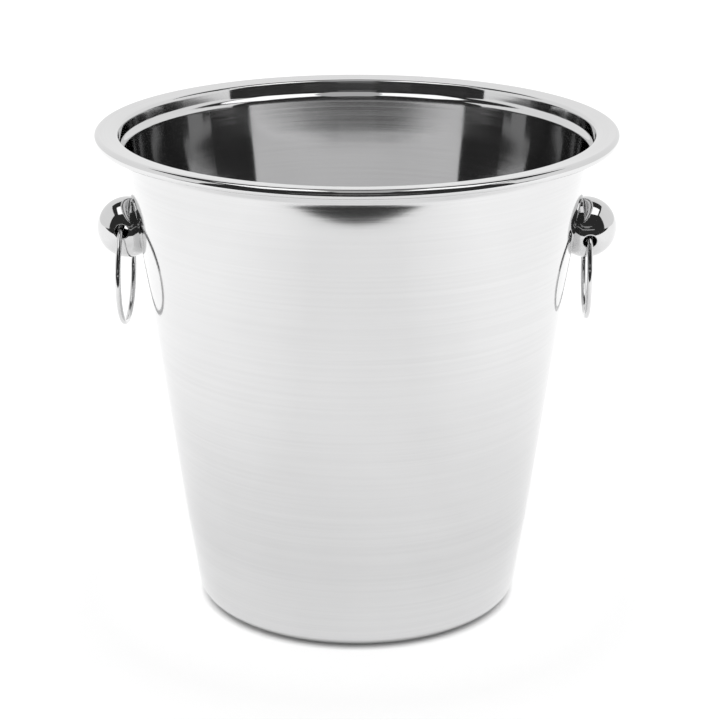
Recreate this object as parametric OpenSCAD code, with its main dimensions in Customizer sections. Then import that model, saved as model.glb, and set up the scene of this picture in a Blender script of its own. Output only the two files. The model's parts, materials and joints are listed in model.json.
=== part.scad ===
// Champagne bucket: a drawn sheet-metal bucket with a rolled rim and a
// wire ring hanging through a hollow ball knob on each side.
// Origin at the centre of the underside, +Z up, knobs on +X and -X.

/* [Bucket] */
// Height from the standing face to the top of the rim
bucket_h = 204; // [190:1:215]
// Outer diameter over the rolled rim
rim_d = 215; // [208:0.5:222]
// Sheet thickness
sheet_t = 0.7; // [0.6:0.05:0.9]
// Outer radius of the wall just above the base corner
foot_r = 68.7; // [64:0.1:73]
// Outer radius of the wall at the shoulder, 22 mm below the rim
shoulder_r = 93.85; // [92.5:0.05:94.5]
// Inner radius at the foot of the neck, above the step in the wall
neck_r = 96.85; // [96.5:0.05:97.5]
// Outward lean of the neck, as run over rise
neck_slope = 0.15; // [0.05:0.01:0.2]
// Outer radius of the base corner
corner_r = 8.6; // [6:0.1:12]
// Outward lean of the wall at the foot, as run over rise
foot_slope = 0.156; // [0.1:0.002:0.2]
// Outward lean of the wall at the shoulder, as run over rise
shoulder_slope = 0.172; // [0.12:0.002:0.2]
// Outward lean of the wall just under the neck, as run over rise
top_slope = 0.128; // [0.08:0.004:0.16]
// How far the middle of the base is pushed up
base_recess = 1.5; // [0:0.1:3]
// Radius where the pushed-up middle of the base ends
recess_r = 50; // [40:1:54]

/* [Rim] */
// Outer radius of the rolled edge
curl_r = 2; // [1.8:0.1:2.3]
// Rise of the flange towards the edge, in degrees
flange_rise = 6; // [3:0.5:8]
// Radius of the inner lip of the flange, to mid-sheet
lip_r = 1.1; // [0.9:0.1:1.6]

/* [Knobs] */
// Height of the knob axis below the rim, where it meets the wall
knob_drop = 42; // [38:0.5:50]
// Outer radius of the ball
ball_r = 12.7; // [12.2:0.1:13.2]
// Height of the ball centre above the wall
ball_rise = 4.8; // [4.4:0.1:5.2]
// Sheet thickness of the ball
ball_t = 0.8; // [0.6:0.1:1]
// Height of the eyes above the wall
eye_rise = 5.9; // [5.7:0.1:6.3]
// Diameter of the eye holes
eye_d = 5.6; // [5.6:0.1:6]
// Turn of the left knob on the wall, front eye down
left_turn = -6.5; // [-10:0.5:10]
// Turn of the right knob on the wall, front eye down
right_turn = 14.5; // [0:0.5:16]
// Thickness of the seat ring under each ball
seat_t = 0.6; // [0.4:0.1:0.6]
// Hole radius of the seat ring
seat_hole_r = 7.2; // [6.8:0.1:8]

/* [Rings] */
// Radius of the ring to the middle of the wire
ring_r = 21.6; // [20.6:0.1:22]
// Diameter of the ring wire
wire_d = 2.4; // [2.2:0.1:2.5]
// How far the wire sits below the middle of the eyes
wire_sit = 0.4; // [0.2:0.1:0.4]
// Turn of the left ring in its loose eyes, front end outwards
left_slack = 2; // [0:0.1:2]

/* [Hidden] */
$fn = 96;

half_t = sheet_t/2;
rim_r = rim_d/2;

// ---- outer face of the wall: one cubic from the foot to the shoulder,
// then a parabola that stands up to the step under the neck
foot_lean = atan(foot_slope);
foot_z = corner_r*(1 - sin(foot_lean));
shoulder_z = bucket_h - 22;
wall_top_z = bucket_h - 8.6;
neck_foot_z = bucket_h - 5.8;
wall_len = shoulder_z - foot_z;
upper_len = wall_top_z - shoulder_z;
function wall_r(z) = z > shoulder_z
    ? let (h = z - shoulder_z)
      shoulder_r + shoulder_slope*h + (top_slope - shoulder_slope)*h*h/(2*upper_len)
    : let (u = (z - foot_z)/wall_len, u2 = u*u, u3 = u2*u)
      (2*u3 - 3*u2 + 1)*foot_r + (u3 - 2*u2 + u)*wall_len*foot_slope
      + (3*u2 - 2*u3)*shoulder_r + (u3 - u2)*wall_len*shoulder_slope;
function wall_lean(z) = atan((wall_r(z + 0.5) - wall_r(z - 0.5)));

// ---- sheet profile, as a path along the middle of the sheet
// half a cosine wave from a to b: both ends leave level
function ease_out(a, b, n) = [for (i = [0:n])
    [a.x + (b.x - a.x)*i/n, a.y + (b.y - a.y)*(1 - cos(180*i/n))/2]];
function arc(c, r, a0, a1, n) = [for (i = [0:n])
    let (a = a0 + (a1 - a0)*i/n) c + r*[cos(a), sin(a)]];

corner_c = [foot_r - corner_r*cos(foot_lean), corner_r];
neck_mid = neck_r + half_t;
curl_mid = curl_r - half_t;
curl_c = [rim_r - curl_r, bucket_h - curl_r];
flange_a = 90 + flange_rise;
flange_end = curl_c + curl_mid*[cos(flange_a), sin(flange_a)];
// the lip arc touches the line of the neck and the line of the flange
neck_lean = atan(neck_slope);
flange_z0 = flange_end.y - flange_end.x*tan(flange_rise) - lip_r/cos(flange_rise);
lip_c_r = (neck_mid + neck_slope*(flange_z0 - neck_foot_z) + lip_r/cos(neck_lean))
    /(1 - neck_slope*tan(flange_rise));
lip_c = [lip_c_r, flange_z0 + lip_c_r*tan(flange_rise)];

base_path = concat(ease_out([recess_r, base_recess + half_t], [recess_r + 5, half_t], 8),
    [[recess_r + 5.2, half_t], [corner_c.x - 0.2, half_t]]);
corner_path = arc(corner_c, corner_r - half_t, -90, -foot_lean, 10);
wall_z = concat([for (i = [1:22]) foot_z + wall_len*i/22],
    [for (i = [1:6]) shoulder_z + upper_len*i/6]);
wall_path = [for (z = wall_z) let (a = wall_lean(z))
    [wall_r(z) - half_t*cos(a), z + half_t*sin(a)]];
wall_end = wall_path[len(wall_path) - 1];
// the step is a cubic that leaves the wall and meets the neck without a corner
step_h = neck_foot_z - wall_end.y;
step_path = [for (i = [1:12]) let (u = i/12, u2 = u*u, u3 = u2*u)
    [(2*u3 - 3*u2 + 1)*wall_end.x + (u3 - 2*u2 + u)*step_h*top_slope
     + (3*u2 - 2*u3)*neck_mid + (u3 - u2)*step_h*neck_slope, wall_end.y + step_h*u]];
lip_path = arc(lip_c, lip_r, 180 - neck_lean, flange_a, 8);
curl_path = arc(curl_c, curl_mid, flange_a, -140, 28);
sheet_path = concat([[0, base_recess + half_t]], base_path, corner_path,
    wall_path, step_path, lip_path, curl_path);

// unit normal of the path at point i, on its right-hand (outer) side
function path_n(p, i) =
    let (a = p[max(i - 1, 0)], b = p[min(i + 1, len(p) - 1)], d = (b - a)/norm(b - a))
    [d.y, -d.x];
function side(p, w) = [for (i = [0:len(p) - 1]) p[i] + w*path_n(p, i)];
function flip(p) = [for (i = [len(p) - 1:-1:0]) p[i]];
outer_face = side(sheet_path, half_t);
inner_face = side(sheet_path, -half_t);

// ---- knob frames: s is 1 on the right side and -1 on the left
knob_z = bucket_h - knob_drop;
knob_r = wall_r(knob_z);
lean = wall_lean(knob_z);
function unit(v) = v/norm(v);
function out_dir(s) = [s*cos(lean), 0, -sin(lean)];
function up_dir(s) = [s*sin(lean), 0, cos(lean)];
function seat_pt(s) = [s*knob_r, 0, knob_z];
// line of the eyes, pointing to the front
function eye_dir(s, turn) = [0, -cos(turn), 0] - sin(turn)*up_dir(s);
// line through the wire at both eyes, about which the ring swings
function swing_dir(s, turn, slack) = cos(slack)*eye_dir(s, turn) + sin(slack)*out_dir(s);
// straight down, made square to the swing line
function hang_dir(t) = unit([0, 0, -1] + t.z*t);
function swing_pt(s, t) = seat_pt(s) + eye_rise*out_dir(s) + wire_sit*hang_dir(t);
eye_off = eye_rise - ball_rise;
half_chord = sqrt(pow(ball_r - ball_t/2, 2) - eye_off*eye_off);
ring_fall = sqrt(ring_r*ring_r - half_chord*half_chord);

module at_knob(s) {
    translate(seat_pt(s)) rotate([0, 0, s > 0 ? 0 : 180]) rotate([0, 90 + lean, 0]) children();
}

// everything inside the outer face of the wall, grown outwards by w
module wall_core(w) {
    face = side([for (p = sheet_path) if (p.y > 100 && p.y < bucket_h - 15) p], half_t + w);
    rotate_extrude($fn = 180)
        polygon(concat([[0, face[0].y]], face, [[0, face[len(face) - 1].y]]));
}

module bucket_shell() {
    color([0.84, 0.84, 0.85])
    rotate_extrude($fn = 180)
        polygon(concat([[0, outer_face[0].y]], [for (i = [1:len(outer_face) - 1]) outer_face[i]],
            flip([for (i = [1:len(inner_face) - 1]) inner_face[i]]), [[0, inner_face[0].y]]));
}

module knob_dome(s, turn) {
    color([0.78, 0.78, 0.79])
    difference() {
        at_knob(s) rotate([0, 0, s*turn]) difference() {
            translate([0, 0, ball_rise]) sphere(r = ball_r);
            translate([0, 0, ball_rise]) sphere(r = ball_r - ball_t);
            translate([0, 0, eye_rise]) rotate([90, 0, 0])
                cylinder(r = eye_d/2, h = 4*ball_r, center = true, $fn = 64);
        }
        wall_core(0);
    }
}

module knob_seat(s) {
    color([0.6, 0.6, 0.62])
    difference() {
        intersection() {
            wall_core(seat_t);
            at_knob(s) translate([0, 0, ball_rise]) sphere(r = ball_r - ball_t);
        }
        wall_core(0);
        at_knob(s) cylinder(r = seat_hole_r, h = 12, center = true, $fn = 64);
    }
}

module wire_ring(s, turn, slack) {
    t = swing_dir(s, turn, slack);
    d = hang_dir(t);
    m = cross(t, d);
    color([0.72, 0.72, 0.73])
    translate(swing_pt(s, t) + ring_fall*d)
        rotate([0, acos(m.z), atan2(m.y, m.x)])
            rotate_extrude($fn = 96) translate([ring_r, 0]) circle(r = wire_d/2, $fn = 32);
}

module left_knob_seat() knob_seat(-1);
module left_knob_dome() knob_dome(-1, left_turn);
module left_ring() wire_ring(-1, left_turn, left_slack);
module right_knob_seat() knob_seat(1);
module right_knob_dome() knob_dome(1, right_turn);
module right_ring() wire_ring(1, right_turn, 0);

bucket_shell();
left_knob_seat();
left_knob_dome();
left_ring();
right_knob_seat();
right_knob_dome();
right_ring();
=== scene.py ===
import json
import math

import bpy
import bmesh
import numpy as np
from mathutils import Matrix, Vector


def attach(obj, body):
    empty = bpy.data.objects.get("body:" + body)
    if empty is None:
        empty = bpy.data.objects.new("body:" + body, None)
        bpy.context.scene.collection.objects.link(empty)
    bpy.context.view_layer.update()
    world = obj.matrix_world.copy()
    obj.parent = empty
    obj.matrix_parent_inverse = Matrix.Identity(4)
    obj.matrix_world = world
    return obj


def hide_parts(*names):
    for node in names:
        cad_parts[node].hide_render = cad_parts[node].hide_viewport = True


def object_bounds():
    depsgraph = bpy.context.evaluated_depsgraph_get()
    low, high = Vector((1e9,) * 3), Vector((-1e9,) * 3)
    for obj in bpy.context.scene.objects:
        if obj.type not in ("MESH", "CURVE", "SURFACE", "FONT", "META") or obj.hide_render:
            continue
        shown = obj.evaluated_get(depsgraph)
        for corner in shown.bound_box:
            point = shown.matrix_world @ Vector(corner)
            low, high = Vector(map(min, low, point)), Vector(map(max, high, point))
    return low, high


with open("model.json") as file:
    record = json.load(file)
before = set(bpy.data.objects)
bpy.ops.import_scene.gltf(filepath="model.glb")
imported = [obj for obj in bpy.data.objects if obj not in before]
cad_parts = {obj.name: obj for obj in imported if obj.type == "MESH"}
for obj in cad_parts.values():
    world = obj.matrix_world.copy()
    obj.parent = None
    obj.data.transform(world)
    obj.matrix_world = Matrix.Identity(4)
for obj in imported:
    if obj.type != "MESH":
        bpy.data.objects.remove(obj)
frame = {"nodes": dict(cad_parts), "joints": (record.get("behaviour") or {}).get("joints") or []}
CAD_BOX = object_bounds()
JOINTS = {j["name"]: j for j in frame["joints"]}
rad, cos, sin, tan, pi = math.radians, math.cos, math.sin, math.tan, math.pi

# ------------------------------------------------------------------ sizes
# The same numbers as the CAD source, in millimetres.
H, RIM_R, T = 204.0, 107.5, 0.7
FOOT_R, SHOULDER_R, NECK_R, CORNER_R = 68.7, 93.85, 96.85, 8.6
S_FOOT, S_SHOULDER, S_TOP, S_NECK = 0.156, 0.172, 0.128, 0.15
RECESS, RECESS_R = 1.5, 50.0
CURL_R, RISE, LIP_R = 2.0, rad(6), 1.1
KNOB_Z = H - 42.0
BALL_R, BALL_RISE, BALL_T, EYE_RISE, EYE_D = 12.7, 4.8, 0.8, 5.9, 5.6
TURN = {-1: rad(-6.5), 1: rad(14.5)}
SLACK = {-1: rad(2.0), 1: 0.0}
RING_R, WIRE_D, WIRE_SIT = 21.6, 2.4, 0.4
MM = 0.001
HALF = T / 2
FOOT_LEAN = math.atan(S_FOOT)
FOOT_Z = CORNER_R * (1 - sin(FOOT_LEAN))
SHOULDER_Z, TOP_Z, NECK_Z = H - 22, H - 8.6, H - 5.8
WALL_LEN, UPPER_LEN = SHOULDER_Z - FOOT_Z, TOP_Z - SHOULDER_Z


def wall_r(z):
    if z > SHOULDER_Z:
        h = z - SHOULDER_Z
        return SHOULDER_R + S_SHOULDER * h + (S_TOP - S_SHOULDER) * h * h / (2 * UPPER_LEN)
    u = (z - FOOT_Z) / WALL_LEN
    return ((2 * u**3 - 3 * u * u + 1) * FOOT_R + (u**3 - 2 * u * u + u) * WALL_LEN * S_FOOT
            + (3 * u * u - 2 * u**3) * SHOULDER_R + (u**3 - u * u) * WALL_LEN * S_SHOULDER)


def wall_lean(z):
    return math.atan(wall_r(z + 0.5) - wall_r(z - 0.5))


def ease_out(a, b, n):
    return [(a[0] + (b[0] - a[0]) * i / n, a[1] + (b[1] - a[1]) * (1 - cos(pi * i / n)) / 2) for i in range(n + 1)]


def arc(c, r, a0, a1, n):
    return [(c[0] + r * cos(a0 + (a1 - a0) * i / n), c[1] + r * sin(a0 + (a1 - a0) * i / n)) for i in range(n + 1)]


def sheet_path(k):
    """Middle line of the sheet from the axis of the base out to the end of the curl. A larger k makes it finer."""
    cc = (FOOT_R - CORNER_R * cos(FOOT_LEAN), CORNER_R)
    neck, curl = NECK_R + HALF, CURL_R - HALF
    curl_c, fa = (RIM_R - CURL_R, H - CURL_R), pi / 2 + RISE
    fe = (curl_c[0] + curl * cos(fa), curl_c[1] + curl * sin(fa))
    lean = math.atan(S_NECK)
    fz = fe[1] - fe[0] * tan(RISE) - LIP_R / cos(RISE)
    lr = (neck + S_NECK * (fz - NECK_Z) + LIP_R / cos(lean)) / (1 - S_NECK * tan(RISE))
    lip_c = (lr, fz + lr * tan(RISE))
    le = (lip_c[0] + LIP_R * cos(fa), lip_c[1] + LIP_R * sin(fa))
    z0 = RECESS + HALF
    p = [(RECESS_R * i / 12, z0) for i in range(12)]
    p += ease_out((RECESS_R, z0), (RECESS_R + 5, HALF), 6 * k)
    p += [(RECESS_R + 5.2, HALF), ((RECESS_R + 5.2 + cc[0]) / 2, HALF), (cc[0] - 0.2, HALF)]
    p += arc(cc, CORNER_R - HALF, -pi / 2, -FOOT_LEAN, 8 * k)
    for z in [FOOT_Z + WALL_LEN * i / (14 * k) for i in range(1, 14 * k + 1)] + \
             [SHOULDER_Z + UPPER_LEN * i / (6 * k) for i in range(1, 6 * k + 1)]:
        a = wall_lean(z)
        p.append((wall_r(z) - HALF * cos(a), z + HALF * sin(a)))
    we = p[-1]
    h, n = NECK_Z - we[1], 10 * k
    for u in [i / n for i in range(1, n + 1)]:
        p.append(((2 * u**3 - 3 * u * u + 1) * we[0] + (u**3 - 2 * u * u + u) * h * S_TOP
                  + (3 * u * u - 2 * u**3) * neck + (u**3 - u * u) * h * S_NECK, we[1] + h * u))
    start = (lip_c[0] + LIP_R * cos(pi - lean), lip_c[1] + LIP_R * sin(pi - lean))
    p += [(neck + (start[0] - neck) * i / (4 * k), NECK_Z + (start[1] - NECK_Z) * i / (4 * k)) for i in range(1, 4 * k)]
    p += arc(lip_c, LIP_R, pi - lean, fa, 8 * k)
    # the flat flange between the lip and the curl
    n = 3 * k
    p += [(le[0] + (fe[0] - le[0]) * i / n, le[1] + (fe[1] - le[1]) * i / n) for i in range(1, n)]
    p += arc(curl_c, curl, fa, rad(-140), 18 * k)
    out = [p[0]]
    for q in p[1:]:
        if math.hypot(q[0] - out[-1][0], q[1] - out[-1][1]) > 0.02:
            out.append(q)
    return np.array(out)


def offset(p, w):
    a, b = np.vstack([p[:1], p[:-1]]), np.vstack([p[1:], p[-1:]])
    d = b - a
    d /= np.linalg.norm(d, axis=1)[:, None]
    return p + w * np.stack([d[:, 1], -d[:, 0]], 1)


# ------------------------------------------------------------------ meshes
def new_object(name, verts, faces, smooth=True):
    me = bpy.data.meshes.new(name)
    me.from_pydata([tuple(v) for v in verts], [], faces)
    me.validate()
    me.update()
    if smooth:
        me.polygons.foreach_set("use_smooth", [True] * len(me.polygons))
    ob = bpy.data.objects.new(name, me)
    bpy.context.scene.collection.objects.link(ob)
    return ob


def lathe(name, loop, segs, sharp_deg=40):
    """Closed surface of revolution from a closed profile that starts and ends on the axis."""
    loop = np.asarray(loop) * MM
    n = len(loop)
    verts = [(0, 0, loop[0][1])]
    for r, z in loop[1:-1]:
        for j in range(segs):
            a = 2 * pi * j / segs
            verts.append((r * cos(a), r * sin(a), z))
    verts.append((0, 0, loop[-1][1]))
    faces = []
    ring = lambda i, j: 1 + (i - 1) * segs + j % segs
    for j in range(segs):
        faces.append((0, ring(1, j + 1), ring(1, j)))
        faces.append((len(verts) - 1, ring(n - 2, j), ring(n - 2, j + 1)))
    for i in range(1, n - 2):
        for j in range(segs):
            faces.append((ring(i, j), ring(i, j + 1), ring(i + 1, j + 1), ring(i + 1, j)))
    ob = new_object(name, verts, faces)
    bm = bmesh.new()
    bm.from_mesh(ob.data)
    bmesh.ops.recalc_face_normals(bm, faces=bm.faces)
    bm.to_mesh(ob.data)
    bm.free()
    ob.data.set_sharp_from_angle(angle=rad(sharp_deg))
    return ob


PATH = sheet_path(2)
OUTER, INNER = offset(PATH, HALF), offset(PATH, -HALF)
OUTER[0, 0] = INNER[0, 0] = 0
# round the cut edge at the end of the curl a little
tip = (OUTER[-1] + INNER[-1]) / 2
tip_d = (PATH[-1] - PATH[-2]) / np.linalg.norm(PATH[-1] - PATH[-2])
edge = [OUTER[-1] * 0.75 + INNER[-1] * 0.25 + 0.06 * tip_d, tip + 0.08 * tip_d, OUTER[-1] * 0.25 + INNER[-1] * 0.75 + 0.06 * tip_d]
shell = lathe("shell", np.vstack([OUTER, edge, INNER[::-1]]), 288)

# ---- knob frames, as in the CAD
LEAN = wall_lean(KNOB_Z)
KNOB_R = wall_r(KNOB_Z)


def frame_of(s):
    out = np.array([s * cos(LEAN), 0, -sin(LEAN)])
    up = np.array([s * sin(LEAN), 0, cos(LEAN)])
    eye = np.array([0, -cos(TURN[s]), 0]) - sin(TURN[s]) * up
    seat = np.array([s * KNOB_R, 0, KNOB_Z])
    swing = cos(SLACK[s]) * eye + sin(SLACK[s]) * out
    hang = np.array([0, 0, -1.0]) + swing[2] * swing
    hang /= np.linalg.norm(hang)
    return seat, out, up, eye, swing, hang


def half_plane_profile(psi, side_n):
    """Closed profile of the ball's sheet in the half-plane through the eye line at angle psi.
    Points are (t along the eye line, d from the eye line). The ball's centre lies below the eye line."""
    off = EYE_RISE - BALL_RISE
    # centre relative to the eye line, in the half-plane and across it
    inp, acr = -off * cos(psi), off * sin(psi)
    re = EYE_D / 2
    pts = []
    fil = 0.28
    for R, way in ((BALL_R, 1), (BALL_R - BALL_T, -1)):
        rr = math.sqrt(R * R - acr * acr)
        d0 = re + fil
        t_end = math.sqrt(rr * rr - (d0 - inp) ** 2)
        a_end = math.atan2(d0 - inp, t_end)
        angs = np.linspace(a_end, pi - a_end, side_n)
        run = [(rr * cos(a), inp + rr * sin(a)) for a in angs]
        pts.append(run if way == 1 else run[::-1])
    outer, inner = pts
    # eye lip: a rounded edge between the outer and the inner face, at both ends
    def lip(a, b, sgn):
        (ta, da), (tb, db) = a, b
        res = []
        for k in range(1, 8):
            f = k / 8
            th = pi * f
            t = (ta + tb) / 2 + (ta - tb) / 2 * cos(th)
            d = (da + db) / 2 - fil * sin(th) ** 0.8
            res.append((t, d))
        return res
    return outer + lip(outer[-1], inner[0], -1) + inner + lip(inner[-1], outer[0], 1)


def dome_mesh(name, s):
    seat, out, up, eye, swing, hang = frame_of(s)
    eye_pt = seat + EYE_RISE * out
    across = np.cross(eye, out)
    n_psi = 192
    rows = []
    for j in range(n_psi):
        psi = 2 * pi * j / n_psi
        u = cos(psi) * out + sin(psi) * across
        rows.append([(eye_pt + t * eye + d * u) * MM for t, d in half_plane_profile(psi, 96)])
    m = len(rows[0])
    verts = [v for row in rows for v in row]
    faces = [(j * m + i, j * m + (i + 1) % m, ((j + 1) % n_psi) * m + (i + 1) % m, ((j + 1) % n_psi) * m + i)
             for j in range(n_psi) for i in range(m)]
    ob = new_object(name, verts, faces)
    bm = bmesh.new()
    bm.from_mesh(ob.data)
    bmesh.ops.recalc_face_normals(bm, faces=bm.faces)
    bm.to_mesh(ob.data)
    bm.free()
    return ob


def wall_cutter():
    zs = np.linspace(KNOB_Z - 20, KNOB_Z + 20, 41)
    prof = [(0, zs[0])] + [(wall_r(z), z) for z in zs] + [(0, zs[-1])]
    return lathe("cutter", prof, 384)


def cut(ob, cutter):
    mod = ob.modifiers.new("cut", "BOOLEAN")
    mod.operation, mod.solver, mod.object = "DIFFERENCE", "EXACT", cutter
    dg = bpy.context.evaluated_depsgraph_get()
    me = bpy.data.meshes.new_from_object(ob.evaluated_get(dg))
    ob.modifiers.clear()
    old = ob.data
    ob.data = me
    bpy.data.meshes.remove(old)
    me.polygons.foreach_set("use_smooth", [True] * len(me.polygons))
    me.set_sharp_from_angle(angle=rad(50))
    return ob


cutter = wall_cutter()
domes = {s: cut(dome_mesh(n, s), cutter) for s, n in ((-1, "knob_dome_left"), (1, "knob_dome_right"))}
bpy.data.objects.remove(cutter)


def ring_mesh(name, s):
    seat, out, up, eye, swing, hang = frame_of(s)
    off = EYE_RISE - BALL_RISE
    half_chord = math.sqrt((BALL_R - BALL_T / 2) ** 2 - off * off)
    fall = math.sqrt(RING_R**2 - half_chord**2)
    c = seat + EYE_RISE * out + WIRE_SIT * hang + fall * hang
    nrm = np.cross(swing, hang)
    N, M = 256, 40
    verts, faces = [], []
    for i in range(N):
        a = 2 * pi * i / N
        rd = cos(a) * hang + sin(a) * swing
        for j in range(M):
            b = 2 * pi * j / M
            verts.append((c + rd * (RING_R + WIRE_D / 2 * cos(b)) + nrm * WIRE_D / 2 * sin(b)) * MM)
    for i in range(N):
        for j in range(M):
            faces.append((i * M + j, i * M + (j + 1) % M, ((i + 1) % N) * M + (j + 1) % M, ((i + 1) % N) * M + j))
    ob = new_object(name, verts, faces)
    bm = bmesh.new()
    bm.from_mesh(ob.data)
    bmesh.ops.recalc_face_normals(bm, faces=bm.faces)
    bm.to_mesh(ob.data)
    bm.free()
    return ob


rings = {s: ring_mesh(n, s) for s, n in ((-1, "wire_ring_left"), (1, "wire_ring_right"))}


def keep_inside(ob):
    """The CAD mesh has coarser facets, so its box is up to 0.01 mm smaller than the true shape."""
    co = np.empty(len(ob.data.vertices) * 3, np.float32)
    ob.data.vertices.foreach_get("co", co)
    lo, hi = (np.array(list(v), np.float32) for v in CAD_BOX)
    ob.data.vertices.foreach_set("co", np.clip(co.reshape(-1, 3), lo, hi).ravel())
    ob.data.update()


for ob in [shell, *domes.values(), *rings.values()]:
    keep_inside(ob)


# ------------------------------------------------------------------ materials
class Nodes:
    def __init__(self, name):
        self.mat = bpy.data.materials.new(name)
        self.mat.use_nodes = True
        self.t = self.mat.node_tree
        self.t.nodes.clear()
        self.out = self.t.nodes.new("ShaderNodeOutputMaterial")

    def add(self, kind, **kw):
        n = self.t.nodes.new(kind)
        for k, v in kw.items():
            setattr(n, k, v)
        return n

    def link(self, a, b):
        self.t.links.new(a, b)

    def math(self, op, a, b=None, c=None):
        n = self.add("ShaderNodeMath", operation=op)
        for i, v in enumerate((a, b, c)):
            if v is None:
                continue
            if isinstance(v, (int, float)):
                n.inputs[i].default_value = v
            else:
                self.link(v, n.inputs[i])
        return n.outputs[0]

    def combine(self, x, y, z):
        n = self.add("ShaderNodeCombineXYZ")
        for i, v in enumerate((x, y, z)):
            if isinstance(v, (int, float)):
                n.inputs[i].default_value = v
            else:
                self.link(v, n.inputs[i])
        return n.outputs[0]

    def noise(self, vec, scale=1.0, detail=2.0, rough=0.5, dist=0.0):
        n = self.add("ShaderNodeTexNoise", noise_dimensions="3D")
        self.link(vec, n.inputs["Vector"])
        n.inputs["Scale"].default_value = scale
        n.inputs["Detail"].default_value = detail
        n.inputs["Roughness"].default_value = rough
        n.inputs["Distortion"].default_value = dist
        return n.outputs["Fac"]

    def span(self, v, a, b, c, d):
        n = self.add("ShaderNodeMapRange")
        self.link(v, n.inputs[0])
        for i, x in enumerate((a, b, c, d)):
            n.inputs[i + 1].default_value = x
        return n.outputs[0]

    def bump(self, height, distance, normal=None, strength=1.0):
        n = self.add("ShaderNodeBump")
        n.inputs["Strength"].default_value = strength
        n.inputs["Distance"].default_value = distance
        self.link(height, n.inputs["Height"])
        if normal is not None:
            self.link(normal, n.inputs["Normal"])
        return n.outputs["Normal"]

    def grey(self, v, tint=(1, 1, 1)):
        n = self.add("ShaderNodeCombineColor")
        for i, k in enumerate(tint):
            self.link(self.math("MULTIPLY", v, k), n.inputs[i])
        return n.outputs[0]


def lathe_coords(g):
    """Object x, y, z and the running length s = z + r, which grows along the whole profile."""
    tc = g.add("ShaderNodeTexCoord")
    sep = g.add("ShaderNodeSeparateXYZ")
    g.link(tc.outputs["Object"], sep.inputs[0])
    x, y, z = sep.outputs
    r = g.math("SQRT", g.math("ADD", g.math("MULTIPLY", x, x), g.math("MULTIPLY", y, y)))
    return tc.outputs["Object"], x, y, z, r, g.math("ADD", z, r)


def shell_steel():
    g = Nodes("shell_steel")
    obj, x, y, z, r, s = lathe_coords(g)

    def streak(around, along):
        return g.combine(g.math("MULTIPLY", x, around), g.math("MULTIPLY", y, around), g.math("MULTIPLY", s, along))

    fine = g.noise(streak(14, 3600), detail=2, rough=0.6)
    mid = g.noise(streak(7, 700), detail=3, rough=0.55)
    wide = g.noise(streak(3.2, 130), detail=2, rough=0.5)
    slow = g.noise(obj, scale=17, detail=3, rough=0.5)
    n1 = g.bump(wide, 1.2e-5)
    n2 = g.bump(mid, 4.5e-6, n1)
    n3 = g.bump(fine, 3.0e-7, n2)
    p = g.add("ShaderNodeBsdfPrincipled")
    p.inputs["Metallic"].default_value = 1.0
    p.inputs["Anisotropic"].default_value = 0.75
    p.inputs["Anisotropic Rotation"].default_value = 0.25
    tan_n = g.add("ShaderNodeTangent", direction_type="RADIAL", axis="Z")
    g.link(tan_n.outputs[0], p.inputs["Tangent"])
    tone = g.math("ADD", g.span(mid, 0.3, 0.7, -0.012, 0.012), g.span(slow, 0.3, 0.7, 0.645, 0.675))
    tone = g.math("ADD", tone, g.span(fine, 0.25, 0.75, -0.01, 0.01))
    g.link(g.grey(tone, (1.0, 1.0, 1.004)), p.inputs["Base Color"])
    rough = g.math("ADD", g.span(slow, 0.3, 0.7, 0.055, 0.085), g.span(mid, 0.3, 0.7, -0.012, 0.015))
    g.link(rough, p.inputs["Roughness"])
    g.link(n3, p.inputs["Normal"])
    g.link(p.outputs[0], g.out.inputs["Surface"])
    return g.mat


def polished_steel(name, base, rough, wave, scratch):
    g = Nodes(name)
    tc = g.add("ShaderNodeTexCoord")
    obj = tc.outputs["Object"]
    slow = g.noise(obj, scale=160, detail=3, rough=0.55)
    fine = g.noise(obj, scale=2600, detail=2, rough=0.6)
    # hairline scratches in two directions
    m = g.add("ShaderNodeMapping")
    g.link(obj, m.inputs[0])
    m.inputs["Rotation"].default_value = (0.5, 0.9, 0.3)
    m.inputs["Scale"].default_value = (120, 5200, 900)
    hair = g.noise(m.outputs[0], detail=1, rough=0.5)
    n1 = g.bump(slow, wave)
    n2 = g.bump(hair, scratch, n1)
    p = g.add("ShaderNodeBsdfPrincipled")
    p.inputs["Metallic"].default_value = 1.0
    tone = g.math("ADD", g.span(slow, 0.3, 0.7, base - 0.012, base + 0.012), g.span(hair, 0.62, 0.75, 0, -0.04))
    g.link(g.grey(tone, (1.0, 1.0, 1.003)), p.inputs["Base Color"])
    g.link(g.math("ADD", g.span(slow, 0.3, 0.7, rough * 0.7, rough * 1.4), g.span(fine, 0.4, 0.8, 0, 0.02)), p.inputs["Roughness"])
    g.link(n2, p.inputs["Normal"])
    g.link(p.outputs[0], g.out.inputs["Surface"])
    return g.mat


SHELL = shell_steel()
DOME = polished_steel("polished_steel", 0.64, 0.05, 1.0e-5, 2.0e-7)
WIRE = polished_steel("ring_steel", 0.68, 0.07, 4.0e-6, 2.0e-7)
SEAT = polished_steel("seat_steel", 0.55, 0.22, 6.0e-6, 6.0e-7)


def dress(ob, mat):
    ob.data.materials.clear()
    ob.data.materials.append(mat)


dress(shell, SHELL)
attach(shell, "bucket")
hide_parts("bucket_shell")
for s, side in ((-1, "left"), (1, "right")):
    dress(domes[s], DOME)
    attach(domes[s], "bucket")
    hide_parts(side + "_knob_dome")
    dress(rings[s], WIRE)
    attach(rings[s], side + "_ring")
    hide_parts(side + "_ring")
    seat = frame["nodes"][side + "_knob_seat"]
    dress(seat, SEAT)


# ------------------------------------------------------------------ stage
def emitter(name, value):
    g = Nodes(name)
    e = g.add("ShaderNodeEmission")
    e.inputs["Color"].default_value = (value, value, value, 1)
    e.inputs["Strength"].default_value = 1.0
    g.link(e.outputs[0], g.out.inputs["Surface"])
    return g.mat


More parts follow.
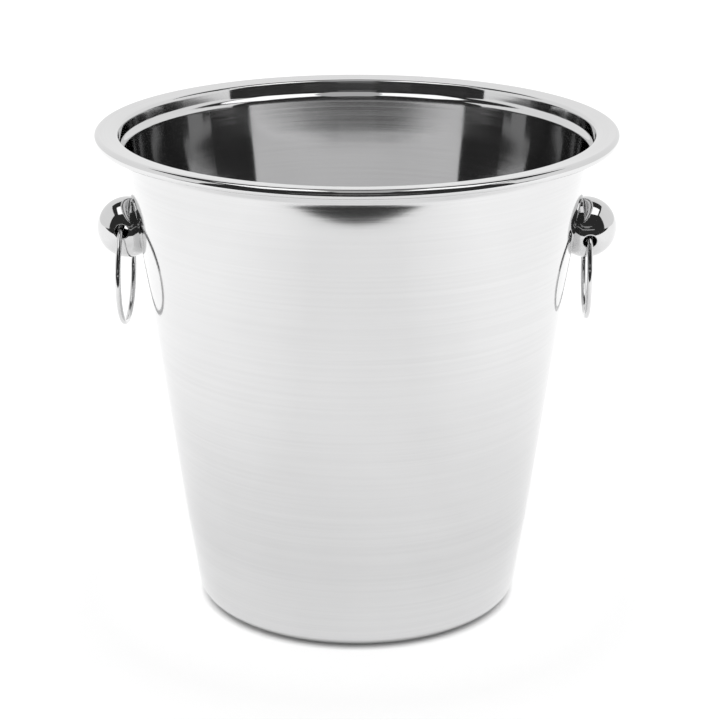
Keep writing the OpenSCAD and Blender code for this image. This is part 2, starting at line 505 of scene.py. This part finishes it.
def card(name, az0, az1, el0, el1, value, dist=3.0, n=24):
    """Part of a sphere round the bucket, seen only in reflections. Azimuth 0 is towards the camera, positive to its right."""
    verts, faces = [], []
    for i in range(n + 1):
        for j in range(n + 1):
            a, e = rad(az0 + (az1 - az0) * i / n), rad(el0 + (el1 - el0) * j / n)
            verts.append((dist * sin(a) * cos(e), -dist * cos(a) * cos(e), 0.12 + dist * sin(e)))
    for i in range(n):
        for j in range(n):
            k = i * (n + 1) + j
            faces.append((k, k + n + 1, k + n + 2, k + 1))
    ob = new_object(name, verts, faces, smooth=True)
    dress(ob, emitter(name, value))
    ob.visible_camera = ob.visible_diffuse = ob.visible_shadow = ob.visible_transmission = ob.visible_volume_scatter = False
    return ob


def panel(name, x0, x1, y0, y1, z, value):
    """Flat level panel over the bucket, seen only in reflections."""
    ob = new_object(name, [(x0, y0, z), (x1, y0, z), (x1, y1, z), (x0, y1, z)], [(0, 1, 2, 3)], smooth=False)
    dress(ob, emitter(name, value))
    ob.visible_camera = ob.visible_diffuse = ob.visible_shadow = ob.visible_transmission = ob.visible_volume_scatter = False
    return ob


FLOOR_Z = 0.0
fl = new_object("floor", [(-9, -9, FLOOR_Z), (9, -9, FLOOR_Z), (9, 9, FLOOR_Z), (-9, 9, FLOOR_Z)], [(0, 1, 2, 3)], smooth=False)
g = Nodes("floor")
d = g.add("ShaderNodeBsdfDiffuse")
d.inputs["Color"].default_value = (0.78, 0.78, 0.78, 1)
e = g.add("ShaderNodeEmission")
e.inputs["Color"].default_value = (1, 1, 1, 1)
# painted light: the floor glows brighter near the base and towards the sides, and a painted contact shadow takes the
# glow away where the base corner covers it
_, fx, fy, _, fr, _ = lathe_coords(g)
painted_floor_glow = g.math("ADD", g.span(fr, 0.070, 0.115, 0.50, 0.36), g.span(g.math("ABSOLUTE", fx), 0.12, 0.34, 0.0, 0.17))
# painted contact shadow: the glow fades to nothing from r 68.5 mm in to r 64.5 mm, under the base corner
g.link(g.math("MULTIPLY", painted_floor_glow, g.span(fr, 0.0645, 0.0685, 0.0, 1.0)), e.inputs["Strength"])
a = g.add("ShaderNodeAddShader")
g.link(d.outputs[0], a.inputs[0])
g.link(e.outputs[0], a.inputs[1])
g.link(a.outputs[0], g.out.inputs["Surface"])
dress(fl, g.mat)

# the table ends in front: beyond it reflections see the dark room
edge_y = -0.39
fe = new_object("table_edge", [(-9, -9, 0.0005), (9, -9, 0.0005), (9, edge_y, 0.0005), (-9, edge_y, 0.0005)], [(0, 1, 2, 3)], smooth=False)
dress(fe, emitter("table_edge", 0.035))
fe.visible_camera = fe.visible_diffuse = fe.visible_shadow = fe.visible_transmission = False
card("dark_front", -68, 68, -2, 58, 0.035)
card("front_patch_low", -10, 10, 10, 15.5, 0.32, dist=2.6)
card("front_patch_high", -20, 20, 14, 16.5, 0.32, dist=2.65)
card("front_low", -28, 28, 2.2, 4.6, 0.55, dist=2.7)
# overhead: a dark ceiling with two soft boxes
panel("dark_ceiling", -2.0, 2.0, -1.9, 1.6, 2.20, 0.035)
panel("ceiling_middle", -0.29, 0.48, -1.75, 0.40, 2.12, 0.55)
panel("soft_box_left", -1.24, -0.29, -0.95, 0.38, 2.10, 1.6)
panel("soft_box_right", 0.48, 1.62, -0.95, 0.29, 2.10, 1.6)

world = bpy.data.worlds.new("studio")
bpy.context.scene.world = world
world.use_nodes = True
bg = world.node_tree.nodes["Background"]
bg.inputs["Color"].default_value = (1, 1, 1, 1)
bg.inputs["Strength"].default_value = 0.98

# ------------------------------------------------------------------ camera
cam_data = bpy.data.cameras.new("camera")
cam = bpy.data.objects.new("camera", cam_data)
bpy.context.scene.collection.objects.link(cam)
cam.location = (0, -0.900, 0.40578)
cam.rotation_euler = (rad(90 - 18.598), 0, 0)
cam_data.sensor_width = 36
cam_data.lens = 111.92
cam_data.shift_x, cam_data.shift_y = 0.0043, -0.0008
cam_data.clip_start, cam_data.clip_end = 0.01, 50
cam_data.dof.use_dof = False
bpy.context.scene.camera = cam
bpy.context.scene.view_settings.view_transform = "Standard"
